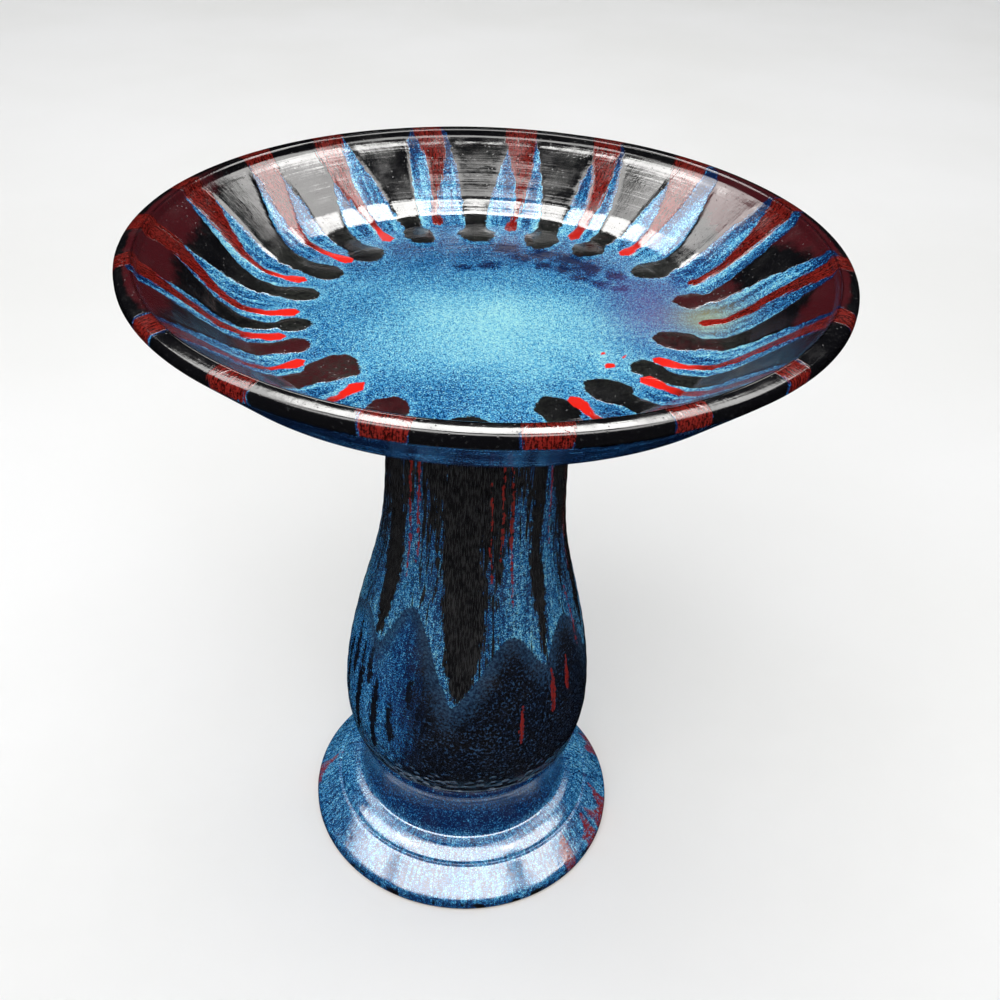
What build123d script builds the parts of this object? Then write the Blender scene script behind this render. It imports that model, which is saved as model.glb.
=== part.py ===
"""Two-piece glazed ceramic bird bath: a shallow round basin that stands on a hollow vase-shaped pedestal.

All sizes are in millimetres. The origin is at the centre of the foot, on the surface that it stands on, and
+Z is the axis that both pieces were thrown about. The pedestal is open at its foot and at its neck. The basin's
underside has a locating ring that drops into the neck, and a soft cushion ring lies between the two glazed seats.
"""

import os

from build123d import *

# Overall sizes
total_height = 500.0
basin_radius = 216.0

# Basin: the rim, the sloping wall and the floor
lip_width = 11.5
lip_height = 9.0
lip_round = 4.3
lip_underside_round = 3.0
bowl_depth = 47.0
bowl_floor_radius = 149.0
bowl_corner_round = 45.0
basin_floor_thickness = 12.0
underside_knee_radius = 180.0
underside_knee_depth = 43.5
underside_knee_round = 25.0
underside_flat_radius = 146.0
underside_corner_round = 30.0

# Seat between the basin and the pedestal
seat_land_margin = 4.0
seat_land_height = 2.0
cushion_thickness = 2.0
locating_ring_height = 13.0
locating_ring_wall = 8.0
locating_clearance = 2.5
seat_round = 1.5

# Pedestal: the neck and the belly
neck_radius = 58.0
neck_rim_round = 2.5
neck_hollow = 0.6
waist_radius = 65.5
waist_height = 288.0
shoulder_radius = 81.5
shoulder_height = 219.0
belly_radius = 93.8
belly_height = 150.0
belly_foot_radius = 91.0
belly_foot_height = 107.0
belly_foot_lean = 0.28
pedestal_wall = 9.0

# Pedestal: the collar under the belly
crease_radius = 84.0
crease_height = 95.0
belly_foot_round = 13.0
collar_bead_height = 9.0
collar_bead_round = 6.0
collar_radius = 81.0
collar_foot_radius = 85.5

# Pedestal: the stepped foot
foot_radius = 123.5
foot_edge_height = 10.0
foot_edge_round = 6.0
foot_bottom_round = 3.5
foot_ring_width = 11.0
foot_ring_draft = 2.0
step_top_height = 41.5
step_radius = 102.5
step_foot_height = 31.5
step_round = 15.0
groove_depth = 1.6
groove_width = 2.4

# Heights and radii that follow from the sizes above
basin_underside = total_height - bowl_depth - basin_floor_thickness
seat_height = basin_underside - seat_land_height
neck_rim_height = seat_height - cushion_thickness
seat_land_radius = neck_radius + seat_land_margin
neck_bore_radius = neck_radius - pedestal_wall
locating_ring_radius = neck_bore_radius - locating_clearance
cushion_inner_radius = neck_bore_radius
cushion_outer_radius = neck_radius - neck_rim_round
neck_middle_radius = (neck_radius + waist_radius) / 2 - neck_hollow
neck_middle_height = (neck_rim_height + waist_height) / 2
collar_middle_height = (crease_height - collar_bead_height + step_top_height) / 2


def revolved(outline):
    """Turn a closed outline, drawn as (radius, height), once round the Z axis."""
    return revolve(Plane.XZ * make_face(outline), Axis.Z)


def make_basin():
    """Shallow bowl with a rounded lip, a flat seat land and a ring that locates it in the neck."""
    rim = total_height
    wall_foot = (bowl_floor_radius, rim - bowl_depth)
    knee = (underside_knee_radius, rim - underside_knee_depth)
    corners = [
        (wall_foot, bowl_corner_round),
        ((basin_radius - lip_width, rim), lip_round),
        ((basin_radius, rim), lip_round),
        ((basin_radius, rim - lip_height), lip_underside_round),
        (knee, underside_knee_round),
        ((underside_flat_radius, basin_underside), underside_corner_round),
        ((seat_land_radius + seat_land_height, basin_underside), seat_round / 2),
        ((seat_land_radius, seat_height), seat_round / 2),
        ((locating_ring_radius, seat_height), seat_round / 2),
        ((locating_ring_radius, seat_height - locating_ring_height), seat_round),
        ((locating_ring_radius - locating_ring_wall, seat_height - locating_ring_height), seat_round),
        ((locating_ring_radius - locating_ring_wall, basin_underside), seat_round),
    ]
    points = [(0, rim - bowl_depth)] + [point for point, _ in corners] + [(0, basin_underside)]
    section = FilletPolyline(*points, radius=[radius for _, radius in corners])
    axis_side = Line((0, basin_underside), (0, rim - bowl_depth))
    return revolved(section.edges() + [axis_side])


def make_cushion_ring():
    """Flat soft washer that lies on the neck's rim, round the basin's locating ring."""
    ring = Cylinder(cushion_outer_radius, cushion_thickness) - Cylinder(cushion_inner_radius, cushion_thickness)
    return Pos(0, 0, neck_rim_height + cushion_thickness / 2) * ring


def vase_curve(inset):
    """Smooth side of the vase from the neck down to the belly's foot, moved in by the inset."""
    points = [
        (neck_radius - inset, neck_rim_height - neck_rim_round),
        (neck_middle_radius - inset, neck_middle_height),
        (waist_radius - inset, waist_height),
        (shoulder_radius - inset, shoulder_height),
        (belly_radius - inset, belly_height),
        (belly_foot_radius - inset, belly_foot_height),
    ]
    return Spline(*points, tangents=[(0, -1), (-belly_foot_lean, -1)])


def collar_and_step():
    """Rounded foot of the belly, the crease, the bead below it, the hollow collar and the step it stands on."""
    belly_foot = (belly_foot_radius, belly_foot_height)
    crease = (crease_radius, crease_height)
    bead_foot = (crease_radius, crease_height - collar_bead_height)
    collar_foot = (collar_foot_radius, step_top_height)
    step_foot = (step_radius, step_foot_height)
    return [
        RadiusArc(belly_foot, crease, belly_foot_round),
        RadiusArc(crease, bead_foot, collar_bead_round),
        ThreePointArc(bead_foot, (collar_radius, collar_middle_height), collar_foot),
        RadiusArc(collar_foot, step_foot, step_round),
    ]


def make_pedestal():
    """Hollow vase with a creased collar and a stepped foot, open at the neck and under the foot."""
    groove_height = step_foot_height - groove_depth
    foot_ring_inside = foot_radius - foot_bottom_round - foot_ring_width
    bore_edge = (neck_bore_radius + neck_rim_round, neck_rim_height)
    rim_edge = (neck_radius - neck_rim_round, neck_rim_height)
    rim_side_height = neck_rim_height - neck_rim_round
    neck_rim = [
        RadiusArc((neck_bore_radius, rim_side_height), bore_edge, neck_rim_round),
        Line(bore_edge, rim_edge),
        RadiusArc(rim_edge, (neck_radius, rim_side_height), neck_rim_round),
    ]
    foot = FilletPolyline(
        (step_radius, step_foot_height),
        (step_radius, groove_height),
        (step_radius + groove_width, groove_height),
        (foot_radius, foot_edge_height),
        (foot_radius, 0),
        (foot_ring_inside, 0),
        radius=[groove_depth / 4, groove_depth / 2, foot_edge_round, foot_bottom_round],
    )
    cavity = Polyline(
        (foot_ring_inside, 0),
        (foot_ring_inside - foot_ring_draft, foot_edge_height),
        (collar_foot_radius - pedestal_wall, step_foot_height),
        (collar_radius - pedestal_wall, collar_middle_height),
        (belly_foot_radius - pedestal_wall, belly_foot_height),
    )
    outside = neck_rim + [vase_curve(0)] + collar_and_step() + foot.edges()
    return revolved(outside + cavity.edges() + [vase_curve(pedestal_wall)])


pieces = {
    "pedestal": make_pedestal(),
    "cushion_ring": make_cushion_ring(),
    "basin": make_basin(),
}

os.makedirs("parts", exist_ok=True)
for name, piece in pieces.items():
    export_step(piece, f"parts/{name}.step")
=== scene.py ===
"""Glazed bird bath: a drip-glazed stoneware basin that rests on a hollow glazed pedestal, on a plain pale
floor.

Both pots are surfaces of revolution, worked out on a grid of outline by angle. Each grid point also carries
the glaze: how far it lies inside a black run, a red run and so on, in millimetres, which the materials then
break up with grain and fibre. Angles round the pots are in degrees from +X towards +Y, so the front is at
-90.
"""

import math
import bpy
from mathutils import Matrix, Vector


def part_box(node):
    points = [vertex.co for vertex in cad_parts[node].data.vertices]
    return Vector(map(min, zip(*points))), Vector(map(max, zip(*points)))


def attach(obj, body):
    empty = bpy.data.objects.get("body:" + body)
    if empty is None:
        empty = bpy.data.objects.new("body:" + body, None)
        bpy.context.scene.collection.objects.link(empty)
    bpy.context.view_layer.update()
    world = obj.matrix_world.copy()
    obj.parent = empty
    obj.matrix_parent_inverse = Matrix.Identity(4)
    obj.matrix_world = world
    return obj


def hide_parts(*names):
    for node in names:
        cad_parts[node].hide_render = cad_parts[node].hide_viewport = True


bl_info = {
    "name": "Glazed Bird Bath",
    "version": (1, 0, 0),
    "blender": (4, 5, 0),
    "location": "View3D > Sidebar > Bird Bath",
    "description": "Builds a drip-glazed bird bath around its packed frame",
    "category": "Object",
}

import bpy
import numpy as np
from bpy.props import FloatProperty, FloatVectorProperty, IntProperty, PointerProperty
from mathutils import Matrix, Vector

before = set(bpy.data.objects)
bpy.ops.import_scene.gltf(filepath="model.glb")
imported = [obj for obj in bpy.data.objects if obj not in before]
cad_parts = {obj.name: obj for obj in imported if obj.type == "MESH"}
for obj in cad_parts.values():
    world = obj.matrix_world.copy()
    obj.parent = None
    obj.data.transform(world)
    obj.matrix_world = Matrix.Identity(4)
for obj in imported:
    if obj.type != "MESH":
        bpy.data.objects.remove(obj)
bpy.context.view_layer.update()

MM = 0.001
RIM_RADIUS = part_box("basin")[1][0]
RIM_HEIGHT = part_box("basin")[1][2]
RING_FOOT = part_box("basin")[0][2]
SEAT_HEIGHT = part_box("cushion_ring")[1][2]
CUSHION_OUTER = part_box("cushion_ring")[1][0]
NECK_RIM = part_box("pedestal")[1][2]
FOOT_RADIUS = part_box("pedestal")[1][0]


# ---------------------------------------------------------------- sizes and colours


def length(name, default, description):
    return FloatProperty(name=name, default=default, description=description, unit="LENGTH", precision=5)


def colour(name, default, description):
    return FloatVectorProperty(
        name=name, default=default, description=description, subtype="COLOR", size=3, min=0.0, max=1.0
    )


class BirdBathGlazes(bpy.types.PropertyGroup):
    """Colours of the running glazes and of the bare clay"""

    black: colour("Black", (0.004, 0.004, 0.005), "Thick iron-black runs")
    maroon: colour("Maroon", (0.06, 0.008, 0.011), "Black that has broken to oxblood")
    red: colour("Red", (0.22, 0.016, 0.012), "Red runs on the lip and the wall")
    hot_red: colour("Hot red", (0.85, 0.018, 0.01), "Pooled ends of the red runs")
    navy: colour("Navy", (0.004, 0.014, 0.06), "Darkest grain of the blue")
    blue: colour("Blue", (0.011, 0.115, 0.4), "Middle of the blue")
    cyan: colour("Cyan", (0.075, 0.47, 0.76), "Lightest grain of the blue")
    pale: colour("Pale", (0.42, 0.8, 0.77), "Crystals in the palest pools")
    violet: colour("Violet", (0.16, 0.095, 0.27), "Where the red has bled into the blue")
    ochre: colour("Ochre", (0.33, 0.33, 0.16), "Where iron has stained the pale pools")
    slate: colour("Slate", (0.008, 0.018, 0.044), "Thin dark wash low on the belly")
    haze: colour("Haze", (0.028, 0.072, 0.14), "Soft rim under the edge of the upper glaze")
    clay: colour("Clay", (0.38, 0.25, 0.15), "Bare fired clay")
    rubber: colour("Rubber", (0.018, 0.018, 0.019), "Cushion ring")


class BirdBathBasin(bpy.types.PropertyGroup):
    """Sizes of the basin"""

    lip_width: length("Lip width", 11.5 * MM, "Width of the lip across its top")
    lip_height: length("Lip height", 9 * MM, "Height of the lip's outer face")
    lip_round: length("Lip round", 3.6 * MM, "Rounding of the lip's outer corner")
    crown: length("Crown", 2.2 * MM, "How far the lip's top falls towards its outside")
    bowl_depth: length("Bowl depth", 47 * MM, "Depth from the rim to the floor")
    floor_radius: length("Floor radius", 149 * MM, "Radius where the wall would meet the floor")
    floor_round: length("Floor round", 45 * MM, "Rounding between the wall and the floor")
    floor_thickness: length("Floor thickness", 12 * MM, "Thickness of the floor")
    knee_radius: length("Knee radius", 180 * MM, "Radius where the underside turns flatter")
    knee_depth: length("Knee depth", 43.5 * MM, "Depth of that turn below the rim")
    flat_radius: length("Flat radius", 146 * MM, "Radius of the flat underside")
    land_radius: length("Seat radius", 62 * MM, "Radius of the seat that rests on the neck")
    ring_radius: length("Ring radius", 46.5 * MM, "Outside of the ring that drops into the neck")
    ring_wall: length("Ring wall", 8 * MM, "Thickness of that ring")
    throwing_ripple: length("Throwing ripple", 0.045 * MM, "Height of the rings left by the fingers")
    glaze_relief: length("Glaze relief", 0.5 * MM, "How far a thick run stands proud")
    around: IntProperty(name="Around", default=640, min=60, description="Grid points round the basin")


class BirdBathPedestal(bpy.types.PropertyGroup):
    """Sizes of the pedestal"""

    wall: length("Wall", 9 * MM, "Thickness of the wall")
    neck_radius: length("Neck radius", 58 * MM, "Radius of the neck at its rim")
    neck_round: length("Neck round", 2.5 * MM, "Rounding of the neck's rim")
    neck_hollow: length("Neck hollow", 0.6 * MM, "How far the neck's side is drawn in")
    waist_radius: length("Waist radius", 65.5 * MM, "Radius where the neck opens out")
    shoulder_radius: length("Shoulder radius", 81.5 * MM, "Radius of the shoulder")
    belly_radius: length("Belly radius", 93.8 * MM, "Widest radius of the belly")
    collar_radius: length("Collar radius", 81 * MM, "Narrowest radius of the collar")
    step_radius: length("Step radius", 102.5 * MM, "Radius of the step above the foot")
    foot_height: length("Foot height", 10 * MM, "Height of the foot's outer edge")
    throwing_ripple: length("Throwing ripple", 0.12 * MM, "Height of the rings left by the fingers")
    glaze_relief: length("Glaze relief", 0.3 * MM, "How far a thick run stands proud")
    around: IntProperty(name="Around", default=420, min=60, description="Grid points round the pedestal")


class BirdBathStage(bpy.types.PropertyGroup):
    """Camera and lights"""

    camera_back: length("Camera back", 0.6266, "How far in front of the axis the camera stands")
    camera_height: length("Camera height", 0.7605, "Height of the camera")
    camera_pitch: FloatProperty(
        name="Pitch", default=0.6533, subtype="ANGLE", description="How far it looks down"
    )
    camera_yaw: FloatProperty(
        name="Yaw", default=-0.0163, subtype="ANGLE", description="How far it looks aside"
    )
    camera_roll: FloatProperty(name="Roll", default=0.0361, subtype="ANGLE", description="How far it leans")
    focal: FloatProperty(
        name="Focal length", default=39.69, unit="CAMERA", description="Focal length of its lens"
    )
    shift_x: FloatProperty(name="Shift X", default=0.0411, description="Sideways shift of the picture")
    shift_y: FloatProperty(name="Shift Y", default=0.0288, description="Upward shift of the picture")
    key_light: FloatProperty(
        name="Key light", default=2.9, description="Brightness of the soft light on the colours"
    )
    window_glare: FloatProperty(
        name="Window glare", default=16.0, description="Brightness of the windows in the gloss"
    )
    ceiling_glare: FloatProperty(
        name="Ceiling glare", default=8.0, description="Brightness of the ceiling in the gloss"
    )
    skylight_glare: FloatProperty(
        name="Skylight glare", default=20.0, description="Brightness of the skylights in the gloss"
    )
    wing_glare: FloatProperty(
        name="Wing glare", default=7.5, description="Brightness of the outer skylights in the gloss"
    )
    backdrop_light: FloatProperty(
        name="Backdrop light", default=2.0, description="Brightness of the light behind"
    )
    room_light: FloatProperty(name="Room", default=0.55, description="Strength of the light from all round")


# ---------------------------------------------------------------- small formulas


def smooth(low, high, value):
    """0 at low and beyond, 1 at high and beyond, and an S curve between."""
    t = np.clip((value - low) / (high - low), 0, 1)
    return t * t * (3 - 2 * t)


def turn_from(angle, centre):
    """Angle from centre, in degrees, taken the short way round."""
    return (angle - centre + 180) % 360 - 180


def wander(angle, seed, waves, first=1):
    """Closed wobble of about -1 to 1 round the pot: waves with seeded phases, which fade as they shorten."""
    rng = np.random.default_rng(seed)
    total = 0 * angle
    for k in range(first, first + waves):
        total = (
            total
            + rng.normal() * np.cos(np.radians(k * angle + rng.uniform(0, 360))) / math.sqrt(k - first + 1)
        )
    return total / 1.8


def unit(vector):
    return vector / np.linalg.norm(vector)


def rounded_outline(corners):
    """Outline through (radius, height, round) corners: an arc that is tangent to both sides takes each
    corner's place."""
    points = np.array([corner[:2] for corner in corners], float)
    outline = [points[:1]]
    for before, here, after, corner in zip(points, points[1:], points[2:], corners[1:]):
        if corner[2] == 0:
            outline.append(here[None])
            continue
        back, ahead = unit(before - here), unit(after - here)
        half = math.acos(back @ ahead) / 2
        centre = here + unit(back + ahead) * corner[2] / math.sin(half)
        start = here + back * corner[2] / math.tan(half) - centre
        end = here + ahead * corner[2] / math.tan(half) - centre
        sweep = math.pi - 2 * half
        t = np.linspace(0, 1, 2 + int(sweep / 0.4))[:, None]
        outline.append(centre + (start * np.sin((1 - t) * sweep) + end * np.sin(t * sweep)) / math.sin(sweep))
    outline.append(points[-1:])
    return np.vstack(outline)


def arc_between(start, end, radius, points=7):
    """Arc of the given radius from start to end, without start: positive bulges to the left of the way it
    goes."""
    start, end = np.array(start, float), np.array(end, float)
    chord = end - start
    half = math.asin(min(1, np.linalg.norm(chord) / 2 / abs(radius)))
    left = unit(np.array([-chord[1], chord[0]])) * math.copysign(1, radius)
    centre = (start + end) / 2 - left * abs(radius) * math.cos(half)
    t = np.linspace(-half, half, points)[1:, None]
    return centre + abs(radius) * (left * np.cos(t) + unit(chord) * np.sin(t))


def smooth_curve(knots, start_way, end_way, count):
    """Cubic spline through the knots, by distance between them, that sets out along start_way and ends
    along end_way."""
    knots = np.array(knots, float)
    along = np.concatenate([[0], np.cumsum(np.linalg.norm(np.diff(knots, axis=0), axis=1))])
    gap = np.diff(along)
    n = len(knots)
    matrix = np.eye(n)
    right = np.zeros((n, 2))
    right[0], right[-1] = unit(np.array(start_way, float)), unit(np.array(end_way, float))
    rise = np.diff(knots, axis=0) / gap[:, None]
    for i in range(1, n - 1):
        matrix[i, i - 1 : i + 2] = gap[i], 2 * (gap[i - 1] + gap[i]), gap[i - 1]
        right[i] = 3 * (gap[i] * rise[i - 1] + gap[i - 1] * rise[i])
    slope = np.linalg.solve(matrix, right)
    where = np.linspace(0, along[-1], count)
    i = np.clip(np.searchsorted(along, where, side="right") - 1, 0, n - 2)
    h = gap[i][:, None]
    t = ((where - along[i]) / gap[i])[:, None]
    return (
        (1 + 2 * t) * (1 - t) ** 2 * knots[i]
        + t * (1 - t) ** 2 * h * slope[i]
        + t**2 * (3 - 2 * t) * knots[i + 1]
        + t**2 * (t - 1) * h * slope[i + 1]
    )


def divided(outline, spacing):
    """The outline with its long runs divided, so that no step is longer than spacing(radius, height)."""
    parts = [outline[:1]]
    for a, b in zip(outline[:-1], outline[1:]):
        gap = np.linalg.norm(b - a)
        if gap > 1e-7:
            steps = math.ceil(gap / spacing(*(a + b) / 2))
            parts.append(a + (b - a) * (np.arange(1, steps + 1) / steps)[:, None])
    return np.vstack(parts)


def left_normals(outline):
    """Unit normals to the left of the way the outline goes, which is away from the clay."""
    along = np.gradient(outline, axis=0)
    along /= np.linalg.norm(along, axis=1, keepdims=True)
    return np.stack([-along[:, 1], along[:, 0]], 1)


# ---------------------------------------------------------------- meshes


def pot_mesh(name, radius, height, angle, fields, flow, closed):
    """Skin of a pot from radius and height on a grid of outline by angle.

    A point is (radius cos angle, radius sin angle, height). An outline that starts and ends on the axis has
    its first and last rows drawn into one point each; a closed one has its last row joined to its first.
    fields are stored on the points as numbers and flow as a vector.
    """
    rows, columns = radius.shape
    points = np.stack([radius * np.cos(np.radians(angle)), radius * np.sin(np.radians(angle)), height], -1)
    here = np.arange(rows * columns).reshape(rows, columns)
    if not closed:
        here[0], here[-1] = 0, here[-1, -1]
    down = np.roll(here, -1, axis=0) if closed else here[1:]
    here = here if closed else here[:-1]
    quads = np.stack([here, down, np.roll(down, -1, axis=1), np.roll(here, -1, axis=1)], -1).reshape(-1, 4)
    used, quads = np.unique(quads, return_inverse=True)
    quads = quads.reshape(-1, 4)
    mesh = bpy.data.meshes.new(name)
    first_fan, last_fan = quads[:columns], quads[-columns:]
    if closed:
        faces = quads.tolist()
    else:
        faces = (
            first_fan[:, [0, 1, 2]].tolist() + quads[columns:-columns].tolist()
            + last_fan[:, [0, 1, 3]].tolist()
        )
    mesh.from_pydata(points.reshape(-1, 3)[used].tolist(), [], faces)
    mesh.shade_smooth()
    for key, values in fields.items():
        layer = mesh.attributes.new(key, "FLOAT", "POINT")
        layer.data.foreach_set(
            "value", np.broadcast_to(values, radius.shape).reshape(-1)[used].astype(np.float32)
        )
    layer = mesh.attributes.new("flow", "FLOAT_VECTOR", "POINT")
    layer.data.foreach_set("vector", flow.reshape(-1, 3)[used].astype(np.float32).ravel())
    piece = bpy.data.objects.new(name, mesh)
    bpy.context.scene.collection.objects.link(piece)
    return piece


# ---------------------------------------- glaze runs of the basin, in degrees and millimetres

# Red runs: angle on the rim, angle at the end, radius that the end reaches, half width on the rim, heat of
# the end.
RED_RUNS = [
    (83, 82, 126, 12.0, 0.30),
    (103, 104, 135, 11.0, 0.10),
    (125, 124, 118, 11.5, 0.85),
    (142, 146, 108, 12.0, 1.00),
    (161, 166, 118, 11.5, 0.95),
    (179, 188, 113, 11.5, 1.00),
    (194, 202, 124, 9.0, 0.90),
    (217, 217, 125, 11.0, 1.00),
    (237, 237, 116, 13.0, 1.00),
    (258, 256, 138, 13.0, 0.80),
    (278, 280, 136, 13.0, 0.90),
    (297, 296, 114, 10.5, 0.90),
    (316, 319, 119, 9.5, 1.00),
    (337, 332, 114, 9.0, 1.00),
    (357, 358, 133, 9.5, 0.35),
    (21, 19, 141, 12.0, 0.15),
    (46, 44, 129, 14.0, 0.75),
    (65, 62, 128, 11.0, 0.55),
]

# Black runs: angle on the rim, angle at the end, radius of the pool's middle, size of the pool, half width
# of the neck above it, share broken to maroon.
BLACK_RUNS = [
    (93, 93, 118, 12.0, 7.0, 0.0),
    (114, 113, 120, 11.0, 6.5, 0.0),
    (133, 136, 111, 12.0, 8.0, 0.0),
    (151, 157, 114, 11.5, 8.5, 0.0),
    (170, 175, 117, 10.5, 7.0, 0.0),
    (187, 195, 118, 9.0, 4.5, 0.0),
    (206, 207, 124, 9.0, 7.0, 1.0),
    (227, 225, 116, 14.0, 8.0, 1.0),
    (247, 248, 134, 12.0, 7.5, 0.6),
    (268, 268, 139, 12.0, 7.0, 0.0),
    (288, 290, 125, 12.5, 7.5, 0.0),
    (307, 308, 118, 12.5, 7.0, 0.0),
    (327, 325, 117, 9.5, 6.5, 0.0),
    (347, 345, 122, 12.5, 7.0, 0.5),
    (9, 10, 134, 10.0, 6.5, 0.9),
    (33, 31, 131, 12.5, 8.5, 0.1),
    (55, 54, 122, 11.5, 7.5, 0.2),
    (74, 71, 119, 13.0, 8.0, 0.0),
]

# Loose red spots on the floor: angle, radius, size.
RED_SPOTS = [(-42, 98, 4.5), (-36, 88, 2.6), (-32, 100, 3.0), (333, 130, 2.5)]

# Dark stains sunk in the floor's blue: angle, radius, size.
DARK_STAINS = [
    (82, 97, 6),
    (73, 84, 4),
    (66, 96, 6),
    (60, 80, 4),
    (55, 99, 6),
    (50, 84, 4.5),
    (44, 97, 7),
    (40, 82, 4),
    (34, 104, 5),
    (30, 88, 4),
    (88, 66, 4),
    (104, 62, 3),
    (24, 96, 3.5),
]


def red_runs(angle, radius, travel, reach):
    """Distance inside the red runs and their heat: a strip's half width, by how far down it is, less the
    arc from its line."""
    nearest = np.full(radius.shape, -40.0)
    heat = np.zeros(radius.shape)
    for rim, end, end_radius, half, hot in RED_RUNS:
        length_down = reach(end_radius)
        share = travel / length_down
        line = rim + (end - rim) * smooth(0.1, 0.95, share) + 0.7 * np.sin(travel / 15 + rim)
        arc = np.abs(turn_from(angle, line)) * np.radians(radius)
        waist = 3.2 + 0.8 * math.sin(rim * 3.7)
        tip = 4.0 + 0.9 * hot
        stations = [0, 0.12, 0.36, 0.6, 0.84, 0.92]
        body = np.interp(share, stations, [half, 0.92 * half, 0.6 * half, waist + 0.8, 0.85 * waist, tip])
        rounding = np.sqrt(np.clip(1 - np.clip((travel - length_down + tip) / tip, 0, 1) ** 2, 0, 1))
        inside = body * rounding - np.clip(travel - length_down, 0, None) - arc
        heat = np.where(
            inside > nearest, hot * (0.22 * smooth(0.25, 0.6, share) + 0.78 * smooth(0.68, 0.88, share)),
            heat
        )
        nearest = np.maximum(nearest, inside)
    for place, middle, size in RED_SPOTS:
        across = turn_from(angle, place) * np.radians(radius)
        inside = (
            size * (1 + 0.25 * np.sin(np.radians(angle) * 60)) - np.hypot(across, (radius - middle) * 1.5)
        )
        heat = np.where(inside > nearest, 1, heat)
        nearest = np.maximum(nearest, inside)
    return nearest, heat


def black_runs(angle, radius, travel, reach):
    """Distance inside the black runs and their share of maroon: each is a narrowing strip that ends in a
    round pool."""
    nearest = np.full(radius.shape, -40.0)
    maroon = np.zeros(radius.shape)
    for rim, end, middle_radius, pool, neck, broken in BLACK_RUNS:
        middle = reach(middle_radius)
        share = travel / middle
        line = rim + (end - rim) * smooth(0.1, 0.95, share) + 0.5 * np.sin(travel / 21 + 2 * rim)
        arc = np.abs(turn_from(angle, line)) * np.radians(radius)
        body = np.interp(share, [0, 0.1, 0.45, 0.68, 0.86, 1], [27, 22, 12.8, 9, neck, neck])
        strip = np.where(travel < middle, body - arc, -40.0)
        lump = 1 + 0.1 * np.sin(np.radians(angle) * 23 + rim) + 0.06 * np.sin(travel / 3 + rim)
        inside = np.maximum(strip, pool * lump - np.hypot(arc, (travel - middle) * 0.85))
        maroon = np.where(inside > nearest, broken * smooth(0.55, 0.8, share), maroon)
        nearest = np.maximum(nearest, inside)
    return nearest, maroon


def basin_outline(sizes):
    """Section of the basin from the middle of its floor, up the wall, over the lip and back under to the
    axis."""
    floor = RIM_HEIGHT - sizes.bowl_depth
    underside = floor - sizes.floor_thickness
    inner_ring = sizes.ring_radius - sizes.ring_wall
    fine, seat = 1.5 * MM, 0.75 * MM
    corners = [
        (0, floor, 0),
        (sizes.floor_radius, floor, sizes.floor_round),
        (RIM_RADIUS - sizes.lip_width - 2 * MM, RIM_HEIGHT - 5.5 * MM, 5 * MM),
        (RIM_RADIUS - sizes.lip_width, RIM_HEIGHT - 1.0 * MM, 3 * MM),
        (RIM_RADIUS - 0.78 * sizes.lip_width, RIM_HEIGHT - 0.4 * MM, 9 * MM),
        (RIM_RADIUS, RIM_HEIGHT - sizes.crown, sizes.lip_round),
        (RIM_RADIUS, RIM_HEIGHT - sizes.lip_height, 3 * MM),
        (sizes.knee_radius, RIM_HEIGHT - sizes.knee_depth, 25 * MM),
        (sizes.flat_radius, underside, 30 * MM),
        (sizes.land_radius + underside - SEAT_HEIGHT, underside, seat),
        (sizes.land_radius, SEAT_HEIGHT, seat),
        (sizes.ring_radius, SEAT_HEIGHT, seat),
        (sizes.ring_radius, RING_FOOT, fine),
        (inner_ring, RING_FOOT, fine),
        (inner_ring, underside, fine),
        (0, underside, 0),
    ]

    def spacing(r, z):
        if z > floor - MM and r < RIM_RADIUS - 6 * MM:
            return 2.4 * MM if r > 104 * MM else 6 * MM if r > 60 * MM else 20 * MM
        return 3.2 * MM if r > sizes.knee_radius else 9 * MM

    return divided(rounded_outline(corners), spacing)


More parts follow.
